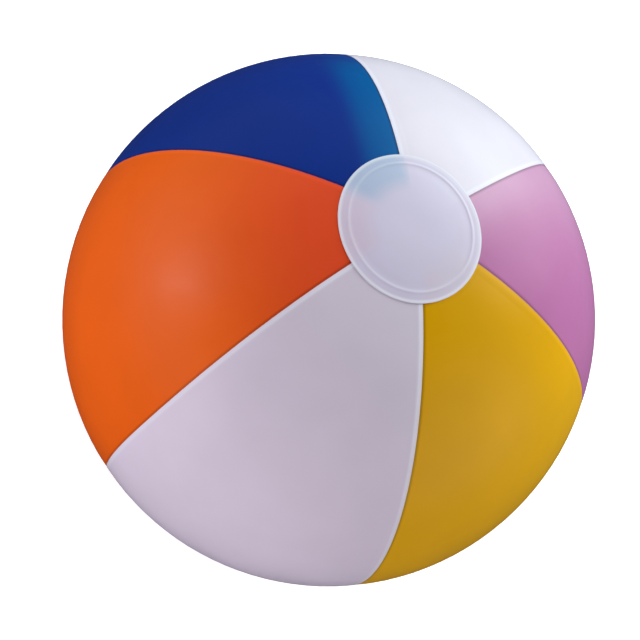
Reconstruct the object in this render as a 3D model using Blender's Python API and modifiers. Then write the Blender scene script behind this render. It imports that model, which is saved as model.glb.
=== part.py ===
"""Inflatable beach ball: six welded gores, two round end discs and a push-in inflation valve.

Metres, +Z up. The origin is the ball's centre. The Z axis runs through both end discs, the plain
one on top and the one with the valve below, where the blown-up ball comes to rest.
"""
from math import asin, cos, pi, radians, sin, sqrt

import bmesh
import bpy
from mathutils import Vector

MM = 0.001

# Ball
BALL_RADIUS = 0.175            # outer face of the gores, blown up
FILM = 0.25 * MM               # thickness of the vinyl film
GAP = 0.3 * MM                 # clearance between neighbouring pieces
FLAT_RADIUS = 20.0 * MM        # the flat that each end takes up when the ball stands on it

# Gores: name, colour and roughness, in turning order about +Z from the +X seam
GORES = (
    ("gore_pink", (0.46, 0.16, 0.37), 0.38),
    ("gore_white_a", (0.80, 0.82, 0.86), 0.36),
    ("gore_blue", (0.012, 0.035, 0.23), 0.34),
    ("gore_orange", (0.80, 0.10, 0.012), 0.38),
    ("gore_white_b", (0.80, 0.82, 0.86), 0.36),
    ("gore_yellow", (0.62, 0.33, 0.008), 0.38),
)
GORE_COLUMNS = 8               # facets across a gore
GORE_ROWS = 22                 # facets from one end disc's rim to the other's
TIP_ANGLE = radians(9.0)       # from the axis to the cut-off gore tips, under the discs
DISC_ANGLE = radians(13.53)    # from the axis to an end disc's rim
DISC_COLOUR = (0.70, 0.72, 0.80)

# Valve. Depths run from the valve disc's outer face into the ball.
FILM_HOLE_RADIUS = 11.5 * MM
FLANGE = (10.5 * MM, 16.5 * MM, 0.8 * MM)      # inner radius, outer radius, thickness
SKIRT_WALL = 0.5 * MM
SKIRT_TOP = (9.95 * MM, 0.8 * MM)              # radius and depth of its middle line
SKIRT_BEND = (9.4 * MM, 5.6 * MM)
SKIRT_FOOT = (5.15 * MM, 9.2 * MM)
STEM_RADIUS = 4.6 * MM
BORE_RADIUS = 3.2 * MM
STEM_DEPTHS = (1.9 * MM, 10.2 * MM)
CAP_RADIUS = 5.2 * MM
CAP_DEPTHS = (0.3 * MM, 1.6 * MM)
PLUG_RADII = (2.85 * MM, 2.0 * MM)             # at the cap and at the tip
PLUG_END_DEPTH = 5.6 * MM
ARM_WIDTH = 3.4 * MM
ARM_WALL = 0.7 * MM
ARM_REACH = (-8.0 * MM, 7.65 * MM)             # finger tab one way, hinge arm the other
HINGE_RADIUS = 8.3 * MM
HINGE_DEPTH = 0.95 * MM
STRAP_WIDTH = 3.0 * MM
STRAP_BEND = (8.3 * MM, 5.2 * MM)
STRAP_FOOT = (4.95 * MM, 5.6 * MM)
FLAP_RADIUS = 4.3 * MM
FLAP_HINGE = 3.9 * MM
VALVE_COLOUR = (0.74, 0.76, 0.80)

# Facets round the turned pieces
DISC_STEPS = GORE_COLUMNS * len(GORES)
VALVE_STEPS = 32

# Worked out
DISC_RADIUS = BALL_RADIUS + GAP + FILM         # outer face of the end discs
DISC_HEIGHT = sqrt(DISC_RADIUS ** 2 - FLAT_RADIUS ** 2)
CORNER = radians(35)                           # faces meeting more sharply than this show an edge


def clear_scene():
    for obj in list(bpy.data.objects):
        bpy.data.objects.remove(obj, do_unlink=True)


def collection(name):
    made = bpy.data.collections.new(name)
    bpy.context.scene.collection.children.link(made)
    return made


def material(name, colour, roughness):
    """A Principled material in one linear colour."""
    made = bpy.data.materials.new(name)
    made.use_nodes = True
    shader = made.node_tree.nodes["Principled BSDF"]
    shader.inputs["Base Color"].default_value = (*colour, 1.0)
    shader.inputs["Roughness"].default_value = roughness
    shader.inputs["Metallic"].default_value = 0.0
    made.diffuse_color = (*colour, 1.0)
    return made


def shade(mesh):
    """Smooth all over, except across corners."""
    mesh.shade_smooth()
    mesh.set_sharp_from_angle(angle=CORNER)


def new_object(name, bm, group, look=None):
    mesh = bpy.data.meshes.new(name)
    bm.to_mesh(mesh)
    bm.free()
    shade(mesh)
    obj = bpy.data.objects.new(name, mesh)
    group.objects.link(obj)
    if look:
        mesh.materials.append(look)
    return obj


def empty(name, location, group):
    made = bpy.data.objects.new(name, None)
    made.location = location
    made.empty_display_size = 0.01
    group.objects.link(made)
    return made


def hang(obj, parent, location):
    """Parents a piece and puts its origin at a place in the world."""
    obj.parent = parent
    obj.location = Vector(location) - parent.location


def solidify(obj, thickness, offset):
    made = obj.modifiers.new("wall", "SOLIDIFY")
    made.thickness = thickness
    made.offset = offset


def keep_modifiers(obj):
    """Makes an object's modifiers part of its mesh, so that its corners can be marked sharp."""
    depsgraph = bpy.context.evaluated_depsgraph_get()
    obj.data = bpy.data.meshes.new_from_object(obj.evaluated_get(depsgraph), depsgraph=depsgraph)
    obj.modifiers.clear()
    shade(obj.data)


def valve_z(depth):
    """Height of a point at a depth into the ball from the valve disc's outer face."""
    return depth - DISC_HEIGHT


def on_sphere(radius, angle):
    """Radius from the axis and height of a point at an angle from +Z."""
    return radius * sin(angle), radius * cos(angle)


def bezier(start, bend, end, steps):
    """Points along a quadratic curve."""
    points = []
    for i in range(steps + 1):
        t = i / steps
        points.append(tuple(
            (1 - t) ** 2 * a + 2 * t * (1 - t) * b + t * t * c
            for a, b, c in zip(start, bend, end)
        ))
    return points


def turned(name, profile, closed, steps, group, look):
    """A profile of (radius, height) points turned about the object's Z axis."""
    bm = bmesh.new()
    verts = [bm.verts.new((r, 0.0, z)) for r, z in profile]
    for a, b in zip(verts, verts[1:]):
        bm.edges.new((a, b))
    if closed:
        bm.edges.new((verts[-1], verts[0]))
    obj = new_object(name, bm, group, look)
    screw = obj.modifiers.new("turn", "SCREW")
    screw.axis = "Z"
    screw.angle = 2 * pi
    screw.steps = steps
    screw.render_steps = steps
    screw.use_merge_vertices = True
    screw.merge_threshold = 0.01 * MM
    keep_modifiers(obj)
    return obj


# Ball

def gore_angles():
    """Angles from +Z of a gore's rows; the first and last lie under the end discs."""
    span = pi - 2 * DISC_ANGLE
    rows = [DISC_ANGLE + span * i / GORE_ROWS for i in range(GORE_ROWS + 1)]
    return [TIP_ANGLE, *rows, pi - TIP_ANGLE]


def gore_mesh():
    """One gore about the +X meridian: a grid laid on the sphere, its edges parallel to the seams."""
    angles = gore_angles()
    bm = bmesh.new()
    bmesh.ops.create_grid(bm, x_segments=GORE_COLUMNS, y_segments=len(angles) - 1, size=1.0)
    for v in bm.verts:
        row = round((1.0 - v.co.y) / 2.0 * (len(angles) - 1))
        ring, height = on_sphere(BALL_RADIUS, angles[row])
        half = pi / len(GORES) - asin(GAP / 2 / ring)
        v.co = (ring * cos(half * v.co.x), ring * sin(half * v.co.x), height)
    bmesh.ops.recalc_face_normals(bm, faces=bm.faces)
    if bm.faces[0].normal.dot(bm.faces[0].calc_center_median()) < 0:
        bmesh.ops.reverse_faces(bm, faces=bm.faces)
    mesh = bpy.data.meshes.new("gore")
    bm.to_mesh(mesh)
    bm.free()
    mesh.shade_smooth()
    mesh.materials.append(None)
    return mesh


def make_gores(group):
    mesh = gore_mesh()
    for place, (name, colour, roughness) in enumerate(GORES):
        obj = bpy.data.objects.new(name, mesh)
        group.objects.link(obj)
        obj.rotation_euler.z = (place + 0.5) * 2 * pi / len(GORES)
        obj.material_slots[0].link = "OBJECT"
        obj.material_slots[0].material = material(name, colour, roughness)
        solidify(obj, FILM, -1.0)


def disc_face(radius, height):
    """One face of an end disc: flat in the middle, then lying on the ball out to the rim."""
    return [
        (FLAT_RADIUS, height),
        on_sphere(radius, TIP_ANGLE),
        on_sphere(radius, DISC_ANGLE),
    ]


def make_discs(group):
    outer = disc_face(DISC_RADIUS, DISC_HEIGHT)
    inner = disc_face(DISC_RADIUS - FILM, DISC_HEIGHT - FILM)
    plain = [(0.0, DISC_HEIGHT), *outer, *reversed(inner), (0.0, DISC_HEIGHT - FILM)]
    look = material("end_disc_plain", DISC_COLOUR, 0.32)
    turned("end_disc_plain", plain, False, DISC_STEPS, group, look)
    holed = [(FILM_HOLE_RADIUS, DISC_HEIGHT), *outer, *reversed(inner)]
    holed.append((FILM_HOLE_RADIUS, DISC_HEIGHT - FILM))
    look = material("end_disc_valve", DISC_COLOUR, 0.32)
    # The same section turned upside down, its points reversed so that it still runs downwards
    below = [(r, -z) for r, z in reversed(holed)]
    turned("end_disc_valve", below, True, DISC_STEPS, group, look)


# Valve

def make_flange(group):
    inner, outer, wall = FLANGE
    low = valve_z(FILM + GAP)
    profile = [(inner, low + wall), (outer, low + wall), (outer, low), (inner, low)]
    look = material("valve_flange", VALVE_COLOUR, 0.4)
    turned("valve_flange", profile, True, VALVE_STEPS, group, look)


def make_skirt(group):
    """The thin neck that folds in on itself when the valve is pushed into the ball."""
    middle = bezier(SKIRT_TOP, SKIRT_BEND, SKIRT_FOOT, 6)
    profile = [(r, valve_z(depth)) for r, depth in reversed(middle)]
    look = material("valve_skirt", VALVE_COLOUR, 0.35)
    obj = turned("valve_skirt", profile, False, VALVE_STEPS, group, look)
    solidify(obj, SKIRT_WALL, 0.0)


def make_stem(group, parent):
    low, high = (valve_z(depth) - parent.location.z for depth in STEM_DEPTHS)
    profile = [(BORE_RADIUS, high), (STEM_RADIUS, high), (STEM_RADIUS, low), (BORE_RADIUS, low)]
    look = material("valve_stem", VALVE_COLOUR, 0.35)
    obj = turned("valve_stem", profile, True, VALVE_STEPS, group, look)
    hang(obj, parent, parent.location)


def make_strap(group, parent):
    """The band that ties the stopper to the stem, with its free end at the living hinge."""
    path = bezier((HINGE_RADIUS, HINGE_DEPTH), STRAP_BEND, STRAP_FOOT, 8)
    steps = len(path) - 1
    bm = bmesh.new()
    bmesh.ops.create_grid(bm, x_segments=steps, y_segments=1, size=1.0)
    for v in bm.verts:
        radius, depth = path[round((v.co.x + 1.0) / 2.0 * steps)]
        v.co = (radius, v.co.y * STRAP_WIDTH / 2, valve_z(depth) - parent.location.z)
    obj = new_object("stopper_strap", bm, group, material("stopper_strap", VALVE_COLOUR, 0.35))
    solidify(obj, ARM_WALL, 0.0)
    hang(obj, parent, parent.location)


def make_stopper(group, cutters, parent):
    """Cap and tapered plug in one, joined to a bar that is the hinge arm and the finger tab."""
    top, under = (valve_z(depth) for depth in CAP_DEPTHS)
    end = valve_z(PLUG_END_DEPTH)
    profile = [
        (0.0, end),
        (PLUG_RADII[1], end),
        (PLUG_RADII[0], under),
        (CAP_RADIUS, under),
        (CAP_RADIUS, top),
        (0.0, top),
    ]
    local = [(r, z - parent.location.z) for r, z in profile]
    look = material("stopper", VALVE_COLOUR, 0.35)
    obj = turned("stopper", local, False, VALVE_STEPS, group, look)
    hang(obj, parent, (0.0, 0.0, parent.location.z))

    bm = bmesh.new()
    bmesh.ops.create_cube(bm, size=1.0)
    reach = ARM_REACH[1] - ARM_REACH[0]
    for v in bm.verts:
        v.co.x = v.co.x * reach + (ARM_REACH[0] + ARM_REACH[1]) / 2
        v.co.y *= ARM_WIDTH
        v.co.z *= ARM_WALL
    upright = [e for e in bm.edges if abs(e.verts[0].co.z - e.verts[1].co.z) > ARM_WALL / 2]
    bmesh.ops.bevel(bm, geom=upright, offset=0.8 * MM, segments=3, profile=0.5, affect="EDGES")
    bar = new_object("stopper_bar", bm, cutters)
    bar.hide_render = True
    bar.display_type = "WIRE"
    hang(bar, parent, (0.0, 0.0, parent.location.z))
    join = obj.modifiers.new("bar", "BOOLEAN")
    join.operation = "UNION"
    join.object = bar


def make_flap(group, parent):
    """The film tongue over the stem's inner end, cut straight along its hinge."""
    bm = bmesh.new()
    bmesh.ops.create_cone(
        bm, cap_ends=True, segments=24, radius1=FLAP_RADIUS, radius2=FLAP_RADIUS, depth=FILM
    )
    bmesh.ops.translate(bm, vec=(-FLAP_HINGE, 0.0, FILM / 2), verts=bm.verts)
    cut = bmesh.ops.bisect_plane(
        bm, geom=[*bm.verts, *bm.edges, *bm.faces], plane_co=(0, 0, 0), plane_no=(1, 0, 0),
        clear_outer=True,
    )
    edges = [g for g in cut["geom_cut"] if isinstance(g, bmesh.types.BMEdge)]
    bmesh.ops.contextual_create(bm, geom=edges)
    obj = new_object("check_flap", bm, group, material("check_flap", VALVE_COLOUR, 0.3))
    hang(obj, parent, parent.location)


def make_valve(group, cutters):
    make_flange(group)
    make_skirt(group)
    slide = empty("valve_slide_axis", (0.0, 0.0, valve_z(STEM_DEPTHS[0])), group)
    make_stem(group, slide)
    make_strap(group, slide)
    hinge = empty("stopper_hinge_axis", (HINGE_RADIUS, 0.0, valve_z(HINGE_DEPTH)), group)
    make_stopper(group, cutters, hinge)
    flap_axis = empty("flap_hinge_axis", (FLAP_HINGE, 0.0, valve_z(STEM_DEPTHS[1] + GAP)), group)
    make_flap(group, flap_axis)


def main():
    clear_scene()
    group = collection("inflatable_beach_ball")
    cutters = collection("cutters")
    make_gores(group)
    make_discs(group)
    make_valve(group, cutters)
    bpy.context.view_layer.update()


main()
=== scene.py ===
"""Looks of the inflatable beach ball: welded vinyl gores, milky end discs and a soft moulded valve.

Positions are in metres, in the axes of the frame. Names and comments that say mm mean millimetres.
"""

from math import acos, asin, cos, pi, radians, sin

import bmesh
import bpy
import numpy as np
from mathutils import Matrix, Vector


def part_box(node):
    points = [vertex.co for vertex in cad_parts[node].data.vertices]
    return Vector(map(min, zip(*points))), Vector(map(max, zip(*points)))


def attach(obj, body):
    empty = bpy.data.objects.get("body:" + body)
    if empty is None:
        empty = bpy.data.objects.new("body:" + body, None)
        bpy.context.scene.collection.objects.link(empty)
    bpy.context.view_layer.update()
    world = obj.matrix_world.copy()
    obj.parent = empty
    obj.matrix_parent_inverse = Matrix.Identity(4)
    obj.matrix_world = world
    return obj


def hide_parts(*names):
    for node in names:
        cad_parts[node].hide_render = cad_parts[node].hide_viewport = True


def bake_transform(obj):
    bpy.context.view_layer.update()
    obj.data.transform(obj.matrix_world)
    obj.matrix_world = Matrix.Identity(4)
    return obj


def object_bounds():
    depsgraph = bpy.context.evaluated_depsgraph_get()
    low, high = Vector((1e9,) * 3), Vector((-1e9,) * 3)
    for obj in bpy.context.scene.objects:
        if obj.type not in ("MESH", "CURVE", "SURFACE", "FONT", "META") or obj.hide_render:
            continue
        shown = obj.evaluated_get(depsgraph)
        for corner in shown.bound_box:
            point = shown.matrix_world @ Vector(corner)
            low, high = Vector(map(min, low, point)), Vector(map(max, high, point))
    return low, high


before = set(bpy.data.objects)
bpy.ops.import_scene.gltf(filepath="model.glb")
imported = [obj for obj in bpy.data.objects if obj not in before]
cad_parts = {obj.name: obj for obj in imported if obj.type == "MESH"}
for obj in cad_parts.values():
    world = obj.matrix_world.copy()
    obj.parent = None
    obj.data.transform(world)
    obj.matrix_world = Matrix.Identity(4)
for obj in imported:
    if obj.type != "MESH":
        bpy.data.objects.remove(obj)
cad_low, cad_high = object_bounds()

MM = 0.001

# ---------------------------------------------------------------- sizes, from the frame

BALL = cad_high.x                                  # radius of the gores' outer face
POLE = cad_high.z                                  # height of the end discs' flats
DISC_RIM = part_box("end_disc_plain")[1].x           # radius of an end disc's rim
TIP = acos(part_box("gore_blue")[1].z / BALL)        # angle from the axis to a gore's cut tip
GORES = 6
GORE_TURN = 2 * pi / GORES                         # angle that a gore takes about the axis
FILM = 0.25 * MM                                   # thickness of the film

# ---------------------------------------------------------------- colours, linear

PINK = (0.48, 0.165, 0.375)
WHITE = (0.77, 0.69, 0.815)
BLUE = (0.006, 0.030, 0.235)
ORANGE = (0.86, 0.124, 0.004)
YELLOW = (0.80, 0.425, 0.004)
WHITE_PAINTED_LIGHT = (0.75, 0.70, 0.805)                   # painted light: the white film made cooler for the light on this gore, between the pink and the blue
SEAM_WHITE = (0.81, 0.79, 0.90)                    # white film over another one
PINK_PAINTED_SHEEN = (0.58, 0.31, 0.50)                     # painted sheen: the pink film paled along the white one beside it, where the key light's gloss falls
PINK_PAINTED_SHEEN_WIDTH = (20.0, 52.0)                     # mm from the seam, near the disc and further out
BLUE_PAINTED_HIGHLIGHT = (0.0003, 0.100, 0.32)                  # painted highlight: the blue film brightened along the white one beside it, where the key light's gloss falls
BLUE_PAINTED_HIGHLIGHT_WIDTH = (12.0, 28.0)                     # mm from the seam where the painted highlight starts to fade and ends
BLUE_PAINTED_HIGHLIGHT_END = (radians(38), radians(54))         # angles from +Z between which it fades too
DISC_ANGLE = radians(14)                           # angle from +Z at which a gore comes out of the disc
MILKY = (0.65, 0.60, 0.76)                         # the end discs' film
WELD_PAINTED_HIGHLIGHT = (0.93, 0.95, 1.0)                    # painted highlight on that film along a weld bead
MOULDED = (0.70, 0.71, 0.76)                       # the valve's vinyl

# Painted shade: films darkened towards the plain end disc: the shaded colour there, and the angle from +Z
# where the shade ends
SHADED_BY_DISC = {
    "gore_orange": ((0.755, 0.073, 0.020), radians(46)),
    "gore_yellow": ((0.70, 0.355, 0.0), radians(70)),
    "gore_white_b": ((0.675, 0.608, 0.72), radians(80)),
}

# node, colour, slot, in turning order about +Z from the +X seam
GORE_LOOKS = (
    ("gore_pink", PINK, "film_pink"),
    ("gore_white_a", WHITE, "film_white"),
    ("gore_blue", BLUE, "film_blue"),
    ("gore_orange", ORANGE, "film_orange"),
    ("gore_white_b", WHITE, "film_white"),
    ("gore_yellow", YELLOW, "film_yellow"),
)
# The gore that lies on top at each seam; seam k is the start of gore k
TOP_AT_SEAM = (5, 1, 1, 3, 4, 4)


# ---------------------------------------------------------------- helpers

def smooth(low, high, x):
    """0 below low, 1 above high, with a smooth step between."""
    t = np.clip((np.asarray(x, float) - low) / (high - low), 0.0, 1.0)
    return t * t * (3 - 2 * t)


def hump(x, width):
    """A bell curve of height 1 about x = 0."""
    return np.exp(-(np.asarray(x, float) / width) ** 2)


def mix(a, b, share):
    """Colours a and b mixed point by point; share is one number for each point."""
    share = np.asarray(share, float)[..., None]
    return np.asarray(a, float) * (1 - share) + np.asarray(b, float) * share


def grid_object(name, points, colours=None, closed=False):
    """A sheet of quads through rows of points; closed joins each row's ends."""
    rows, columns = points.shape[:2]
    faces = []
    for i in range(rows - 1):
        for j in range(columns if closed else columns - 1):
            here = i * columns + j
            beside = i * columns + (j + 1) % columns
            faces.append((here, beside, beside + columns, here + columns))
    mesh = bpy.data.meshes.new(name)
    mesh.from_pydata(points.reshape(-1, 3).tolist(), [], faces)
    if colours is not None:
        layer = mesh.color_attributes.new("film", "FLOAT_COLOR", "POINT")
        rgba = np.ones((rows * columns, 4), np.float32)
        rgba[:, :3] = colours.reshape(-1, 3)
        layer.data.foreach_set("color", rgba.ravel())
    mesh.shade_smooth()
    obj = bpy.data.objects.new(name, mesh)
    bpy.context.scene.collection.objects.link(obj)
    return obj


def apply_modifiers(obj):
    """Leaves the shape that the modifiers make as the object's own mesh."""
    depsgraph = bpy.context.evaluated_depsgraph_get()
    obj.data = bpy.data.meshes.new_from_object(obj.evaluated_get(depsgraph), depsgraph=depsgraph)
    obj.modifiers.clear()


def film_wall(obj, thickness):
    """Gives a sheet a thickness, inwards, and turns it into a plain closed mesh."""
    wall = obj.modifiers.new("wall", "SOLIDIFY")
    wall.thickness = thickness
    wall.offset = -1.0
    wall.use_even_offset = False
    apply_modifiers(obj)
    obj.data.set_sharp_from_angle(angle=radians(40))


def finish_piece(obj, body, nodes, material):
    """Gives a piece its material and body and hides its CAD nodes; a blended piece has no one body."""
    obj.data.materials.clear()
    obj.data.materials.append(material)
    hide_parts(*nodes)
    if body:
        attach(obj, body)


# ---------------------------------------------------------------- materials

class Nodes:
    """A short way to write a material's node tree."""

    def __init__(self, name):
        self.material = bpy.data.materials.new("look_" + name)
        self.material.use_nodes = True
        self.tree = self.material.node_tree
        self.shader = self.tree.nodes["Principled BSDF"]

    def node(self, kind, **values):
        """A new node with some of its inputs or settings given by name."""
        made = self.tree.nodes.new(kind)
        for key, value in values.items():
            if key in made.inputs.keys():
                made.inputs[key].default_value = value
            else:
                setattr(made, key, value)
        return made

    def link(self, a, b):
        self.tree.links.new(a, b)

    def place(self):
        """Where a point is on the piece, in metres."""
        return self.node("ShaderNodeTexCoord").outputs["Object"]

    def noise(self, scale, detail=3.0, roughness=0.5):
        """Noise over the surface, with a scale in cycles to the metre."""
        made = self.node("ShaderNodeTexNoise", Scale=scale, Detail=detail, Roughness=roughness)
        self.link(self.place(), made.inputs["Vector"])
        return made.outputs["Fac"]

    def spread(self, value, low, high, start=0.3, end=0.7):
        """A number stretched so that start to end becomes low to high."""
        made = self.node("ShaderNodeMapRange")
        for key, number in (("From Min", start), ("From Max", end), ("To Min", low), ("To Max", high)):
            made.inputs[key].default_value = number
        self.link(value, made.inputs["Value"])
        return made.outputs["Result"]

    def times(self, colour, factor):
        """A colour scaled by a number that changes over the surface."""
        made = self.node("ShaderNodeVectorMath", operation="SCALE")
        self.link(colour, made.inputs[0])
        self.link(factor, made.inputs["Scale"])
        return made.outputs["Vector"]

    def bump(self, heights):
        """Bumps in metres, one on top of another: (height, distance) pairs."""
        normal = None
        for height, distance in heights:
            made = self.node("ShaderNodeBump", Distance=distance, Strength=1.0)
            self.link(height, made.inputs["Height"])
            if normal:
                self.link(normal, made.inputs["Normal"])
            normal = made.outputs["Normal"]
        self.link(normal, self.shader.inputs["Normal"])


CLOUDING = 0.03                 # how far the film's colour strays over the surface
HAZE = (-0.035, 0.045)          # how far its roughness strays below and above the mean
UNDULATION = 0.00009            # m, height of its slow bumps
GRAIN = 0.000006                # m, height of its calendered grain
GORE_ROUGHNESS = 0.38
DISC_ROUGHNESS = 0.34
GLOSS = 0.13                    # specular level of the films
BLUE_GLOSS = 0.06               # the blue one's, which mirrors less
COAT_ROUGHNESS = 0.4
COAT_IOR = 1.0006               # hardly reflects: the coat is there for its tint
COAT_TINT = (0.98, 0.98, 0.983, 1.0)    # darkens the film where it is seen edge on
MOULD_GRAIN = 0.00002           # m, height of the grain that the mould leaves on the valve


def vinyl_film(name, roughness, gloss):
    """Satin calendered vinyl: fine haze in the gloss, slight clouding in the colour."""
    n = Nodes(name)
    # The film attribute holds the films' colours together with their painted highlights, sheen and shade
    film = n.node("ShaderNodeAttribute", attribute_name="film").outputs["Color"]
    clouds = n.spread(n.noise(22.0, 2.0), 1.0 - CLOUDING, 1.0 + CLOUDING)
    n.link(n.times(film, clouds), n.shader.inputs["Base Color"])
    haze = n.spread(n.noise(60.0, 5.0, 0.65), roughness + HAZE[0], roughness + HAZE[1])
    n.link(haze, n.shader.inputs["Roughness"])
    n.bump([(n.noise(85.0, 2.0), UNDULATION), (n.noise(900.0, 2.0), GRAIN)])
    n.shader.inputs["Specular IOR Level"].default_value = gloss
    n.shader.inputs["Coat Weight"].default_value = 1.0
    n.shader.inputs["Coat Roughness"].default_value = COAT_ROUGHNESS
    n.shader.inputs["Coat IOR"].default_value = COAT_IOR
    n.shader.inputs["Coat Tint"].default_value = COAT_TINT
    return n.material


def moulded_vinyl(name, colour, roughness):
    """Soft injection-moulded vinyl with a fine matt grain."""
    n = Nodes(name)
    base = n.node("ShaderNodeRGB").outputs[0]
    base.default_value = (*colour, 1.0)
    clouds = n.spread(n.noise(250.0, 3.0), 0.94, 1.04)
    n.link(n.times(base, clouds), n.shader.inputs["Base Color"])
    haze = n.spread(n.noise(700.0, 4.0), roughness - 0.05, roughness + 0.07)
    n.link(haze, n.shader.inputs["Roughness"])
    n.bump([(n.noise(2500.0, 3.0), MOULD_GRAIN)])
    n.shader.inputs["Subsurface Weight"].default_value = 0.15
    n.shader.inputs["Subsurface Radius"].default_value = (0.8, 0.8, 0.9)
    n.shader.inputs["Subsurface Scale"].default_value = 0.001
    return n.material


# ---------------------------------------------------------------- the ball's surface

LAP = 5.0                       # mm that the lower film runs on under the upper one
LAP_RISE = 0.08                 # mm that the upper film stands proud over the lap
LAP_DIP = 0.16                  # mm that the lower film lies low under the lap
VALLEY = 0.25                   # mm that the stiff seam draws the ball in
PUCKER = 0.035                  # mm of puckering along a seam
PUCKER_LENGTH = 11.0            # mm from one pucker to the next
# How far each weld strays from its meridian, in mm: near the plain disc, and by the ball's middle
SEAM_DRIFT = ((-0.4, 0.4), (-1.3, -0.7), (2.0, 0.9), (-1.6, -1.6), (-0.5, 2.4), (0.6, 0.4))


def seam_drift(seam, angle):
    """Sideways stray of a seam in mm at angles from +Z, fading out towards the valve disc."""
    near, middle = SEAM_DRIFT[seam]
    down = smooth(radians(18), radians(66), angle)
    fade = 1 - smooth(radians(95), radians(160), angle)
    return (near + (middle - near) * down) * fade


def seam_relief(seam, along, across):
    """Height in mm that a seam adds to both films, at places given in mm along and across it."""
    beat = 0.5 + 0.5 * np.sin(along / 37.0 + 1.7 * seam)
    wave = np.sin(2 * pi * along / PUCKER_LENGTH + 2.1 * seam + 0.6 * np.sin(along / 23.0))
    puckers = PUCKER * beat * wave * hump(across, 6.0)
    return puckers - VALLEY * hump(across, 9.0)


def swell(direction):
    """Slow unevenness of the blown-up skin, in mm."""
    x, y, z = np.moveaxis(np.asarray(direction), -1, 0)
    first = 0.07 * np.sin(3.1 * x + 1.3 * y)
    second = 0.06 * np.sin(4.3 * y - 2.2 * z + 0.7)
    third = 0.05 * np.sin(5.2 * z + x)
    return first + second + third


def skin_point(angle, longitude, height):
    """A point on the ball at an angle from +Z, with a height in mm above the CAD radius."""
    direction = np.stack([
        np.sin(angle) * np.cos(longitude), np.sin(angle) * np.sin(longitude), np.cos(angle)
    ], axis=-1)
    return direction * (BALL + (height + swell(direction)) * MM)[..., None]


# ---------------------------------------------------------------- gores

ROWS = 132
MIDDLE = 17                     # columns between the two edge strips
# Columns of the edge strips, in mm from the seam
UPPER_EDGE = (0.0, 0.12, 0.4, 1.0, 1.8, 2.6, 3.4, 4.3, 4.8, 5.3, 5.8, 6.6, 8.4, 11.0)
LOWER_EDGE = (-LAP, -3.4, -1.8, -0.7, -0.2, 0.1, 0.4, 0.8, 1.3, 1.9, 2.6, 3.6, 5.2, 8.0, 11.0)
# Stretches in mm from the seam, each from where a feature starts to end to where it has ended
LAP_ENDS = (3.8, 6.0)           # the upper film comes down off the lap
DIP_ENDS = (0.25, 2.4)          # the lower film comes up from under the upper one
DOUBLED_ENDS = (1.9, 3.0)       # the upper film looks two films thick
TINT_ENDS = (0.2, 1.6)          # the other film's colour shows in the upper one
PRESSED_AND_SHADED_ENDS = (0.5, 1.9)          # the lower film is pressed thin and gets painted shade by the upper film's edge
TINT = 0.10                     # share of the other film's colour
DOUBLED_BRIGHTER = 1.1          # a coloured film's brightness where it looks two films thick
PRESSED_AND_SHADED = 0.62                     # brightness of the lower film where it is pressed thin and has painted shade


def edge_film(distance, upper):
    """Height in mm of a film at a distance in mm into its own side of a seam."""
    if upper:
        return LAP_RISE * (1 - smooth(*LAP_ENDS, distance))
    return -LAP_DIP * (1 - smooth(*DIP_ENDS, distance))


def edge_colour(colour, doubled, other, distance, upper):
    """The film's colour near a seam: two films thick in the upper one; pressed thin and darkened by painted
    shade at the step in the lower one.
    """
    if upper:
        over = mix(colour, doubled, 1 - smooth(*DOUBLED_ENDS, distance))
        return mix(over, other, TINT * (1 - smooth(*TINT_ENDS, distance)))
    # Painted shade along the step at the upper film's edge, on the lower film that is also pressed thin
    return mix(colour, colour * PRESSED_AND_SHADED, 1 - smooth(*PRESSED_AND_SHADED_ENDS, distance))


def film_colour(node, colour, left, right, angle):
    """The film's colour over a gore, with its painted highlight, sheen, light and shade, at distances in mm
    from its seams and angles from +Z.
    """
    whole = np.broadcast_to(colour, left.shape + (3,))
    if node == "gore_white_a":
        # Painted light: this white gore gets a cooler copy of the white film
        return np.broadcast_to(WHITE_PAINTED_LIGHT, whole.shape)
    if node == "gore_blue":
        # Painted highlight: a bright band along the seam with the white gore
        blue_highlight = 0.78 * (1 - smooth(*BLUE_PAINTED_HIGHLIGHT_WIDTH, left)) + 0.22 * hump(left, 9.0)
        fade = 1 - 0.85 * smooth(*BLUE_PAINTED_HIGHLIGHT_END, angle)
        return mix(whole, BLUE_PAINTED_HIGHLIGHT, blue_highlight * fade)
    if node == "gore_pink":
        # Painted sheen: the pink paled along its seam with the white gore
        near, far = PINK_PAINTED_SHEEN_WIDTH
        width = near + (far - near) * smooth(radians(20), radians(52), angle)
        return mix(whole, PINK_PAINTED_SHEEN, hump(right, width))
    # Painted shade towards the plain end disc
    shaded_colour, end = SHADED_BY_DISC[node]
    return mix(whole, shaded_colour, 1 - smooth(DISC_ANGLE, end, angle))


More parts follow.
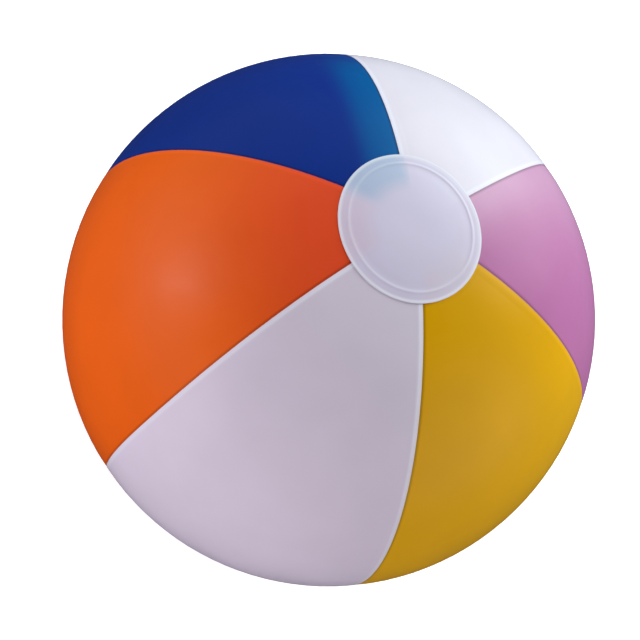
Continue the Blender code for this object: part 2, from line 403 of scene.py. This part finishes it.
def make_gore(place):
    """One gore's film, with an upper or a lower edge along each of its two seams."""
    node, colour, slot = GORE_LOOKS[place]
    seams = (place, (place + 1) % GORES)
    upper = [TOP_AT_SEAM[s] == place for s in seams]
    edges = [np.array(UPPER_EDGE if up else LOWER_EDGE) for up in upper]
    angles = np.linspace(TIP, pi - TIP, ROWS)
    rings = BALL / MM * np.sin(angles)
    drift = seam_drift(seams[0], angles)
    width = GORE_TURN * rings + seam_drift(seams[1], angles) - drift
    rows = []
    for ring_width in width:
        right = ring_width - edges[1][::-1]
        middle = np.linspace(edges[0][-1], right[0], MIDDLE + 2)[1:-1]
        rows.append(np.concatenate([edges[0], middle, right]))
    left = np.array(rows)
    right = width[:, None] - left
    angle = np.repeat(angles[:, None], left.shape[1], axis=1)
    longitude = GORE_TURN * place + (left + drift[:, None]) / rings[:, None]
    along = BALL / MM * angle
    height = edge_film(left, upper[0]) + edge_film(right, upper[1])
    height += seam_relief(seams[0], along, left) + seam_relief(seams[1], along, right)
    film = film_colour(node, colour, left, right, angle)
    doubled = SEAM_WHITE if colour is WHITE else film * DOUBLED_BRIGHTER
    before = GORE_LOOKS[(place - 1) % GORES][1]
    after = GORE_LOOKS[(place + 1) % GORES][1]
    colours = np.where(
        (left < right)[..., None],
        edge_colour(film, doubled, before, left, upper[0]),
        edge_colour(film, doubled, after, right, upper[1]),
    )
    # From the valve's end up, so that the faces look outwards
    obj = grid_object("film_" + node, skin_point(angle, longitude, height)[::-1], colours[::-1])
    film_wall(obj, FILM)
    return obj, node, slot


def make_gores():
    """The six gores; those of one colour share a material."""
    looks = {}
    for place in range(GORES):
        obj, node, slot = make_gore(place)
        if slot not in looks:
            looks[slot] = vinyl_film(slot, GORE_ROUGHNESS, BLUE_GLOSS if slot == "film_blue" else GLOSS)
        finish_piece(obj, "ball", [node], looks[slot])


# ---------------------------------------------------------------- end discs

DISC_TURNS = 180
DISC_GAP = 0.17                 # mm from the gores' outer face to a disc's inner face
DISC_LIFT = DISC_GAP + FILM / MM
SHOULDER = 0.25                 # mm, softness of the edge round a disc's flat middle
EDGE_STRIP = 8.0                # mm of close rings along the rim and along a hole
TIP_MARGIN = (10.0, 3.0)        # mm inside and outside the gores' tips over which a gore shows up
SIDE_MARGIN = (0.12, 0.18)      # the same at its sides, in radians outside and inside the seam
HOLE_INSET = 5.0                # mm that the valve disc's hole lies inside the flange's rim
WELD_WIDTH = 5.6                # mm from the rim to the inner weld bead
BEAD = 0.22                     # mm that a weld bead stands up
DISC_OFF = (-1.0, -0.85)        # mm that the plain disc was welded off the axis
DISC_OVAL = 1.3                 # mm that it is out of round
DISC_OVAL_TURN = radians(132)   # direction of its longest radius
DISC_SHORT = 0.3                # mm that its radius falls short all round
DISC_CROWN = 0.8                # mm that the plain disc bulges above the CAD's flat
TROUGH = 0.16                   # mm that the film sinks just inside the weld ring
# What shows through a disc from under it: its colour and how much of it
SHOWS_THROUGH = {
    "gore_blue": ((0.05, 0.38, 0.58), 0.34),
    "gore_orange": (ORANGE, 0.07),
    "gore_pink": (PINK, 0.06),
    "gore_yellow": (YELLOW, 0.05),
}


def disc_radii(hole):
    """Radii in mm of a disc's rings, closest together at the rim's weld and at a hole's edge."""
    rim = DISC_RIM / MM
    weld = np.linspace(rim - EDGE_STRIP, rim, 27)
    if not hole:
        return np.concatenate([np.linspace(0.4, weld[0], 22)[:-1], weld])
    near = np.linspace(hole, hole + EDGE_STRIP, 26)
    return np.concatenate([near, np.linspace(near[-1], weld[0], 12)[1:-1], weld])


def disc_dome(radius, flat):
    """Height in mm of the smooth disc, bent to the ball and levelled in its middle at a height."""
    dome = np.sqrt((BALL / MM + DISC_LIFT) ** 2 - radius ** 2)
    return flat - SHOULDER * np.log(np.exp((flat - dome) / SHOULDER) + 1.0)


def disc_relief(radius):
    """Height in mm that the weld's two beads, the band pressed between them and the trough add."""
    from_rim = DISC_RIM / MM - radius
    beads = BEAD * (0.4 * hump(from_rim - 0.6, 0.6) + hump(from_rim - WELD_WIDTH, 0.75))
    pressed = smooth(0.8, 1.6, from_rim) * (1 - smooth(WELD_WIDTH - 1.4, WELD_WIDTH - 0.5, from_rim))
    lies_down = 0.11 * (1 - smooth(0.0, 3.0, from_rim))
    trough = TROUGH * hump(from_rim - WELD_WIDTH - 2.6, 2.0)
    return beads - 0.07 * pressed - lies_down - trough


def hole_relief(radius, hole):
    """Height in mm that the weld of the valve's flange adds round the hole."""
    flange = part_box("valve_flange")[1].x / MM
    beads = 0.10 * hump(radius - hole - 1.0, 0.7) + 0.16 * hump(radius - flange + 0.6, 0.7)
    pressed = smooth(hole, hole + 1.6, radius) * (1 - smooth(flange - 2.0, flange - 1.0, radius))
    return beads - 0.05 * pressed


def disc_colours(radius, longitude, own_radius):
    """Milky film; what lies close under it, by its place on the ball, shows faintly through; painted
    highlights run along the weld beads.
    """
    tip = BALL / MM * sin(TIP)
    under = smooth(tip - TIP_MARGIN[0], tip + TIP_MARGIN[1], radius)
    outside, inside = SIDE_MARGIN
    colours = np.broadcast_to(MILKY, radius.shape + (3,))
    for place, (node, _, _) in enumerate(GORE_LOOKS):
        if node not in SHOWS_THROUGH:
            continue
        colour, share = SHOWS_THROUGH[node]
        turn = (longitude - place * GORE_TURN) % (2 * pi)
        over_gore = smooth(-outside, inside, turn)
        over_gore = over_gore * (1 - smooth(GORE_TURN - inside, GORE_TURN + outside, turn))
        colours = mix(colours, colour, share * under * over_gore)
    from_rim = DISC_RIM / MM - own_radius
    # Painted highlights on the rim's bead and on the inner weld bead
    bead_highlight = 0.5 * hump(from_rim - 0.8, 1.0) + 0.18 * hump(from_rim - WELD_WIDTH, 0.7)
    return mix(colours, WELD_PAINTED_HIGHLIGHT, bead_highlight)


def make_disc(node, side, hole, material):
    """An end disc, at side 1 or -1 of the ball; hole is the radius of its hole in mm, or 0."""
    radius = disc_radii(hole)[:, None]
    turn = 2 * pi * np.arange(DISC_TURNS)[None, :] / DISC_TURNS
    radius, turn = np.broadcast_arrays(radius, turn)
    relief = disc_relief(radius)
    if hole:
        relief = relief + hole_relief(radius, hole)
        across = radius * np.cos(turn)
        along = radius * np.sin(turn)
    else:
        stretch = DISC_OVAL * np.cos(2 * (turn - DISC_OVAL_TURN)) - DISC_SHORT
        reach = radius * (1 + stretch * MM / DISC_RIM)
        across = reach * np.cos(turn) + DISC_OFF[0]
        along = reach * np.sin(turn) + DISC_OFF[1]
    from_axis = np.hypot(across, along)
    dome = disc_dome(from_axis, POLE / MM + (0.0 if hole else DISC_CROWN))
    place = np.stack([across, along, side * dome], axis=-1) / (BALL / MM)
    height = dome + relief + swell(place) * smooth(22.0, 34.0, from_axis)
    points = np.stack([across, along, side * height], axis=-1) * MM
    colours = disc_colours(from_axis, np.arctan2(along, across), radius)
    obj = grid_object("film_" + node, points, colours, closed=True)
    if not hole:
        close_middle(obj)
    outwards(obj, Vector((0, 0, side)))
    film_wall(obj, FILM)
    finish_piece(obj, "ball", [node], material)


def close_middle(obj):
    """Fills the small ring left round the axis, whose edges are far shorter than the rim's."""
    bm = bmesh.new()
    bm.from_mesh(obj.data)
    ring = [e for e in bm.edges if e.is_boundary and e.calc_length() < 0.1 * MM]
    bmesh.ops.contextual_create(bm, geom=ring)
    bm.to_mesh(obj.data)
    bm.free()


def outwards(obj, direction):
    """Turns a sheet's faces to look along a direction."""
    bm = bmesh.new()
    bm.from_mesh(obj.data)
    bm.normal_update()
    if sum((f.normal * f.calc_area() for f in bm.faces), Vector()).dot(direction) < 0:
        bmesh.ops.reverse_faces(bm, faces=bm.faces)
    bm.to_mesh(obj.data)
    bm.free()


def make_discs():
    material = vinyl_film("film_disc", DISC_ROUGHNESS, GLOSS)
    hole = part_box("valve_flange")[1].x / MM - HOLE_INSET
    make_disc("end_disc_plain", 1, 0, material)
    make_disc("end_disc_valve", -1, hole, material)


# ---------------------------------------------------------------- valve

TURNS = 72                      # steps round a turned piece
CORNER_STEPS = 4                # steps round a rounded corner
FLANGE_LIP = 0.25               # mm that the flange thins towards its rim
NECK_STEPS = 30                 # points along the skirt
NECK_ROLL = 0.10                # mm, height of the soft rolls on it
NECK_WALL = 0.42                # mm, its thickness away from its ends
STEM_WALL = 1.4                 # mm
GRIP = 0.35                     # mm, depth of the grooves between the stem's grip beads
CAP_THICKNESS = 1.3             # mm
ARM_HEIGHT = 0.65               # mm from the cap's outer face to the middle of the arm and tab
ARM_HALF_WIDTH = 1.7            # mm
STRAP_HALF_WIDTH = 1.5          # mm
STRAP_WALL = 0.62               # mm, thinned by STRAP_FOLD where the strap folds
STRAP_FOLD = 0.26               # mm
FLAP_THICKNESS = 0.2            # mm
FLAP_DISH = 0.15                # mm that the flap bulges inwards over the bore


def rounded(points, radius):
    """A closed outline of (radius, height) points in mm with its corners rounded."""
    made = []
    count = len(points)
    for i, point in enumerate(points):
        here, before, after = (np.array(points[k % count], float) for k in (i, i - 1, i + 1))
        into, out = before - here, after - here
        r = min(radius, 0.45 * np.linalg.norm(into), 0.45 * np.linalg.norm(out))
        start = here + into / np.linalg.norm(into) * r
        end = here + out / np.linalg.norm(out) * r
        for t in np.linspace(0, 1, CORNER_STEPS + 1):
            made.append((1 - t) ** 2 * start + 2 * t * (1 - t) * here + t * t * end)
    return np.array(made)


def turned(name, outline, closed):
    """An outline of (radius, height) points in mm turned about the ball's axis; closed joins its ends."""
    outline = np.asarray(outline, float)
    if closed:
        outline = np.vstack([outline, outline[:1]])
    turn = 2 * pi * np.arange(TURNS) / TURNS
    points = np.stack([
        outline[:, 0, None] * np.cos(turn), outline[:, 0, None] * np.sin(turn),
        np.repeat(outline[:, 1, None], TURNS, axis=1),
    ], axis=-1) * MM
    obj = grid_object(name, points, closed=True)
    bm = bmesh.new()
    bm.from_mesh(obj.data)
    bmesh.ops.remove_doubles(bm, verts=bm.verts, dist=0.001 * MM)
    bmesh.ops.recalc_face_normals(bm, faces=bm.faces)
    bm.to_mesh(obj.data)
    bm.free()
    obj.data.shade_smooth()
    obj.data.set_sharp_from_angle(angle=radians(50))
    return obj


def mm_box(node):
    """A CAD node's two box corners in mm."""
    low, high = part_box(node)
    return low / MM, high / MM


def make_flange(material):
    low, high = mm_box("valve_flange")
    inner = mm_box("valve_skirt")[1].x + 0.3
    outline = [(inner, low.z), (high.x, low.z), (high.x, high.z - FLANGE_LIP), (high.x - 1.2, high.z)]
    outline += [(inner, high.z)]
    obj = turned("valve_flange_ring", rounded(outline, 0.2), True)
    finish_piece(obj, "ball", ["valve_flange"], material)


def bend_curve(start, bend, end, count):
    """Points of a curve from start to end that is drawn towards bend."""
    t = np.linspace(0, 1, count)[:, None]
    return (1 - t) ** 2 * np.array(start) + 2 * t * (1 - t) * np.array(bend) + t * t * np.array(end)


def walled(line, walls):
    """A closed outline round a line of (radius, height) points, with a thickness at each."""
    along = np.gradient(line, axis=0)
    along /= np.linalg.norm(along, axis=1)[:, None]
    side = np.stack([along[:, 1], -along[:, 0]], axis=-1)
    half = np.asarray(walls)[:, None] / 2
    return np.vstack([line + side * half, (line - side * half)[::-1]])


def make_skirt(material):
    """Thin neck with soft rolls where it folds, thicker where it joins the flange and the stem."""
    low, high = mm_box("valve_skirt")
    stem = mm_box("valve_stem")[1].x
    root = (high.x + 0.9, low.z + 0.15)
    top = (high.x - 0.25, low.z + 0.35)
    foot = (stem + 0.55, high.z - 0.35)
    line = bend_curve(top, (high.x - 0.8, low.z + 5.0), foot, NECK_STEPS)
    t = np.linspace(0, 1, NECK_STEPS)
    ends_level = smooth(0, 0.15, t) * (1 - smooth(0.85, 1, t))
    line[:, 0] += NECK_ROLL * np.sin(2 * pi * 3.5 * t) * ends_level
    line = np.vstack([root, line, (stem - 0.6, high.z - 0.2)])
    t = np.concatenate([[0.0], t, [1.0]])
    walls = NECK_WALL + 0.2 * hump(t, 0.08) + 0.2 * hump(t - 1, 0.08)
    obj = turned("valve_skirt_neck", walled(line, walls), True)
    finish_piece(obj, None, ["valve_skirt"], material)
    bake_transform(obj)


def make_stem(material):
    """Tube with a rolled lip, two grip beads and a bore."""
    low, high = mm_box("valve_stem")
    outer = high.x
    groove = outer - GRIP
    bore = outer - STEM_WALL
    line = [(bore, low.z), (outer, low.z), (outer, low.z + 0.9), (groove, low.z + 1.3)]
    for bead in (low.z + 3.0, low.z + 4.6):
        line += [(groove, bead - 0.5), (outer, bead), (groove, bead + 0.5)]
    line += [(groove, high.z - 2.4), (outer, high.z - 1.6), (outer, high.z), (bore, high.z)]
    obj = turned("valve_stem_tube", rounded(line, 0.3), True)
    finish_piece(obj, "valve", ["valve_stem"], material)


def plate(name, outline, low, high, soften):
    """A flat plate between two heights from an outline of (x, y) points, with soft edges, all in mm."""
    bm = bmesh.new()
    face = bm.faces.new([bm.verts.new((x * MM, y * MM, low * MM)) for x, y in outline])
    made = bmesh.ops.extrude_face_region(bm, geom=[face])
    bmesh.ops.translate(
        bm, vec=(0, 0, (high - low) * MM),
        verts=[v for v in made["geom"] if isinstance(v, bmesh.types.BMVert)],
    )
    bmesh.ops.recalc_face_normals(bm, faces=bm.faces)
    rims = [e for e in bm.edges if abs(e.verts[0].co.z - e.verts[1].co.z) < 0.01 * MM]
    bmesh.ops.bevel(bm, geom=rims, offset=soften * MM, segments=3, profile=0.6, affect="EDGES")
    mesh = bpy.data.meshes.new(name)
    bm.to_mesh(mesh)
    bm.free()
    obj = bpy.data.objects.new(name, mesh)
    bpy.context.scene.collection.objects.link(obj)
    return obj


def joined(base, other):
    """Base with another closed shape united to it."""
    join = base.modifiers.new("join", "BOOLEAN")
    join.operation = "UNION"
    join.object = other
    apply_modifiers(base)
    bpy.data.objects.remove(other)
    base.data.shade_smooth()
    base.data.set_sharp_from_angle(angle=radians(35))


def make_stopper(material):
    """Domed cap, ribbed plug, hinge arm and a finger tab with a grip ridge."""
    low, high = mm_box("stopper")
    cap = high.y
    under = low.z + CAP_THICKNESS
    tip = high.z
    plug = [(0.0, tip), (1.75, tip), (2.0, tip - 0.35), (2.2, tip - 1.1), (2.5, tip - 1.35), (2.3, tip - 1.7)]
    plug += [(2.5, under + 1.2), (2.78, under + 0.9), (2.6, under + 0.55), (2.75, under)]
    rim = [(cap - 0.25, under), (cap, under - 0.3), (cap, low.z + 0.45), (cap - 0.45, low.z + 0.02)]
    crown = [(cap - 1.1, low.z), (cap - 1.5, low.z + 0.2), (0.0, low.z + 0.2)]
    obj = turned("stopper_cap", plug + rim + crown, False)
    blade = []
    for sign, end, curve in ((1, high.x, 0.9), (-1, low.x, 1.6)):
        for a in np.linspace(-pi / 2, pi / 2, 9):
            blade.append((end - sign * curve + sign * curve * cos(a), sign * ARM_HALF_WIDTH * sin(a)))
    middle = low.z + ARM_HEIGHT
    joined(obj, plate("blade", blade, middle - 0.35, middle + 0.35, 0.15))
    centre = low.x + 0.7
    ridge = [(centre + x, y) for x, y in ((-0.25, -1.1), (0.25, -1.1), (0.25, 1.1), (-0.25, 1.1))]
    joined(obj, plate("ridge", ridge, middle - 0.62, middle - 0.1, 0.1))
    finish_piece(obj, "stopper", ["stopper"], material)


def make_strap(material):
    """Soft band from the stem's side up to the stopper's arm, thinned where it folds."""
    strap_high = mm_box("stopper_strap")[1]
    stopper_low, stopper_high = mm_box("stopper")
    hinge_x = strap_high.x - 0.35
    hinge_z = stopper_low.z + ARM_HEIGHT
    foot = (mm_box("valve_stem")[1].x - 0.3, strap_high.z - 0.35)
    bend = (hinge_x, hinge_z + 0.5)
    run = bend_curve(bend, (hinge_x, hinge_z + 4.2), foot, 18)
    turn_in = bend_curve((stopper_high.x - 0.5, hinge_z), (hinge_x, hinge_z), bend, 8)[:-1]
    line = np.vstack([turn_in, run])
    t = np.linspace(0, 1, len(line))
    outline = walled(line, STRAP_WALL - STRAP_FOLD * hump(t - 0.18, 0.1))
    centre = np.vstack([line, line[::-1]])
    count = len(outline)
    # Four outlines across the strap, the outer two drawn in to soften its edges
    rings = []
    for across, pull in ((-1.0, 0.12), (-0.86, 0.0), (0.86, 0.0), (1.0, 0.12)):
        ring = outline + (centre - outline) * pull / 0.35
        y = np.full(count, across * STRAP_HALF_WIDTH)
        rings.append(np.stack([ring[:, 0], y, ring[:, 1]], axis=-1))
    obj = grid_object("stopper_strap_band", np.array(rings) * MM, closed=True)
    close_sides(obj, count, len(rings))
    obj.data.shade_smooth()
    obj.data.set_sharp_from_angle(angle=radians(40))
    finish_piece(obj, None, ["stopper_strap"], material)
    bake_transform(obj)


def close_sides(obj, count, rings):
    """Fills the strap's first and last outline with quads from one face of it to the other."""
    bm = bmesh.new()
    bm.from_mesh(obj.data)
    bm.verts.ensure_lookup_table()
    for first in (0, (rings - 1) * count):
        for i in range(count // 2 - 1):
            quad = (first + i, first + i + 1, first + count - 2 - i, first + count - 1 - i)
            bm.faces.new([bm.verts[k] for k in quad])
    bmesh.ops.recalc_face_normals(bm, faces=bm.faces)
    bm.to_mesh(obj.data)
    bm.free()


def make_flap(material):
    """Thin tongue, straight along its hinge, a little dished where it seats."""
    high = mm_box("check_flap")[1]
    rings = np.array([0.05, 0.35, 0.6, 0.75, 0.85, 0.93, 1.0])[:, None]
    turn = 2 * pi * np.arange(48) / 48
    edge = np.minimum(high.y, high.x / np.maximum(np.cos(turn), 0.01))
    x = rings * edge * np.cos(turn)
    y = rings * edge * np.sin(turn)
    dish = FLAP_DISH * (1 - rings ** 2) * smooth(high.x, 0.0, x)
    points = np.stack([x, y, high.z - 0.05 + dish], axis=-1) * MM
    obj = grid_object("check_flap_tongue", points, closed=True)
    close_middle(obj)
    outwards(obj, Vector((0, 0, 1)))
    film_wall(obj, FLAP_THICKNESS * MM)
    finish_piece(obj, "flap", ["check_flap"], material)


def make_valve():
    moulded = moulded_vinyl("valve_vinyl", MOULDED, 0.42)
    make_flange(moulded)
    make_skirt(moulded)
    make_stem(moulded)
    make_stopper(moulded)
    make_strap(moulded)
    make_flap(moulded_vinyl("valve_film", MOULDED, 0.35))


# ---------------------------------------------------------------- camera

TILT = radians(22.8)            # angle between the ball's axis and the line of sight
AZIMUTH = radians(-15.37)       # turn of the line of sight about the ball's axis
LEAN = radians(47.84)           # direction of the ball's axis in the picture, from its right
DISTANCE = 4.0 * BALL           # from the ball's centre to the camera
SENSOR = 36.0                   # mm
BALL_IN_FRAME = 0.833125        # the ball's width as a share of the picture's
SIDEWAYS = 0.0134375            # how far right of the middle the ball sits, as a share of the same


def camera_axes():
    """Right, up and backward of the camera, as vectors of the frame."""
    back = Vector((sin(AZIMUTH) * sin(TILT), -cos(AZIMUTH) * sin(TILT), cos(TILT)))
    level = Vector((cos(AZIMUTH), sin(AZIMUTH), 0.0))
    above = back.cross(level)
    right = cos(LEAN) * above + sin(LEAN) * level
    up = sin(LEAN) * above - cos(LEAN) * level
    return right, up, back


def make_camera():
    right, up, back = camera_axes()
    data = bpy.data.cameras.new("camera")
    data.sensor_width = SENSOR
    half_ball = asin(BALL / DISTANCE)
    data.lens = 0.5 * SENSOR * BALL_IN_FRAME / np.tan(half_ball)
    data.shift_x = -SIDEWAYS
    data.clip_start = 0.01
    data.clip_end = 50.0
    camera = bpy.data.objects.new("camera", data)
    bpy.context.scene.collection.objects.link(camera)
    turn = Matrix((right, up, back)).transposed().to_4x4()
    camera.matrix_world = Matrix.Translation(back * DISTANCE) @ turn
    bpy.context.scene.camera = camera


# ---------------------------------------------------------------- floor and light

FLOOR_HALF = 12.0               # m, half the floor's width
FLOOR_SEEN = (0.92, 0.92, 0.93)         # its colour as the camera sees it
FLOOR_BOUNCE = (0.30, 0.28, 0.32)       # as it lights the ball
FLOOR_MIRRORED = (0.05, 0.05, 0.055)    # as it shows in the film's gloss
FLOOR_GLOW = (0.55, 1.0)        # its own light to the camera, near the ball and far from it
GLOW_REACH = (0.35, 1.1)        # m from the ball's middle between which that light rises
SKY = (1.0, 0.98, 1.0)
SKY_STRENGTH = 0.05

# name, direction from the ball (right, up and towards the camera), distance, size, power, colour
LIGHTS = (
    ("key_above", (0.55, 0.80, 0.16), 2.0, 1.9, 15.0, (0.88, 1.0, 0.98)),
    ("key_right", (0.82, 0.55, 0.10), 2.0, 1.9, 45.0, (0.92, 1.0, 0.96)),
    ("left", (-0.92, 0.25, 0.25), 2.0, 2.2, 20.0, (1.0, 1.0, 1.0)),
    ("left_spot", (-0.83, 0.23, 0.51), 2.0, 0.45, 9.5, (1.0, 0.92, 1.0)),
    ("low_left", (-0.60, -0.70, 0.40), 2.2, 3.0, 37.5, (1.0, 0.97, 1.0)),
    ("low_right", (0.70, -0.65, 0.30), 2.0, 2.4, 21.0, (1.0, 0.96, 0.98)),
    ("top", (-0.35, 0.90, 0.25), 2.0, 2.2, 8.0, (0.95, 1.0, 1.0)),
)


def floor_material():
    """Pale and matt, darker to the ball's light and gloss than to the camera, and clear from below."""
    n = Nodes("floor")
    path = n.node("ShaderNodeLightPath")
    seen = path.outputs["Is Camera Ray"]
    unseen_tone = n.node("ShaderNodeMix", data_type="RGBA")
    unseen_tone.inputs["A"].default_value = (*FLOOR_BOUNCE, 1.0)
    unseen_tone.inputs["B"].default_value = (*FLOOR_MIRRORED, 1.0)
    n.link(path.outputs["Is Glossy Ray"], unseen_tone.inputs["Factor"])
    tone = n.node("ShaderNodeMix", data_type="RGBA")
    n.link(unseen_tone.outputs["Result"], tone.inputs["A"])
    tone.inputs["B"].default_value = (*FLOOR_SEEN, 1.0)
    n.link(seen, tone.inputs["Factor"])
    n.link(tone.outputs["Result"], n.shader.inputs["Base Color"])
    n.shader.inputs["Roughness"].default_value = 0.9
    n.shader.inputs["Specular IOR Level"].default_value = 0.0
    far = n.node("ShaderNodeVectorMath", operation="LENGTH")
    n.link(n.place(), far.inputs[0])
    glow = n.node("ShaderNodeMath", operation="MULTIPLY")
    n.link(seen, glow.inputs[0])
    n.link(n.spread(far.outputs["Value"], *FLOOR_GLOW, *GLOW_REACH), glow.inputs[1])
    n.shader.inputs["Emission Color"].default_value = (1.0, 1.0, 1.0, 1.0)
    n.link(glow.outputs[0], n.shader.inputs["Emission Strength"])
    from_below = n.node("ShaderNodeNewGeometry").outputs["Backfacing"]
    clear = n.node("ShaderNodeBsdfTransparent")
    both = n.node("ShaderNodeMixShader")
    n.link(from_below, both.inputs[0])
    n.link(n.shader.outputs[0], both.inputs[1])
    n.link(clear.outputs[0], both.inputs[2])
    n.link(both.outputs[0], n.tree.nodes["Material Output"].inputs["Surface"])
    return n.material


def make_floor():
    """A wide pale floor under the ball."""
    ends = (-FLOOR_HALF, FLOOR_HALF)
    floor = grid_object("floor", np.array([[(x, y, -POLE) for x in ends] for y in ends]))
    outwards(floor, Vector((0, 0, 1)))
    floor.data.materials.append(floor_material())


def make_lights():
    right, up, back = camera_axes()
    for name, (x, y, z), distance, size, power, colour in LIGHTS:
        data = bpy.data.lights.new(name, "AREA")
        data.shape = "DISK"
        data.size = size
        data.energy = power
        data.color = colour
        light = bpy.data.objects.new(name, data)
        bpy.context.scene.collection.objects.link(light)
        way = (right * x + up * y + back * z).normalized()
        light.location = way * distance
        light.rotation_euler = (-way).to_track_quat("-Z", "Y").to_euler()


def make_world():
    """A dim even sky that the camera sees as plain white."""
    world = bpy.data.worlds.new("studio")
    world.use_nodes = True
    tree = world.node_tree
    seen = tree.nodes.new("ShaderNodeLightPath").outputs["Is Camera Ray"]
    tone = tree.nodes.new("ShaderNodeMix")
    tone.data_type = "RGBA"
    tone.inputs["A"].default_value = (*(SKY_STRENGTH * c for c in SKY), 1.0)
    tone.inputs["B"].default_value = (1.0, 1.0, 1.0, 1.0)
    tree.links.new(seen, tone.inputs["Factor"])
    tree.links.new(tone.outputs["Result"], tree.nodes["Background"].inputs["Color"])
    bpy.context.scene.world = world
    bpy.context.scene.view_settings.view_transform = "Standard"


# ---------------------------------------------------------------- the scene

make_gores()
make_discs()
make_valve()
make_camera()
make_floor()
make_lights()
make_world()
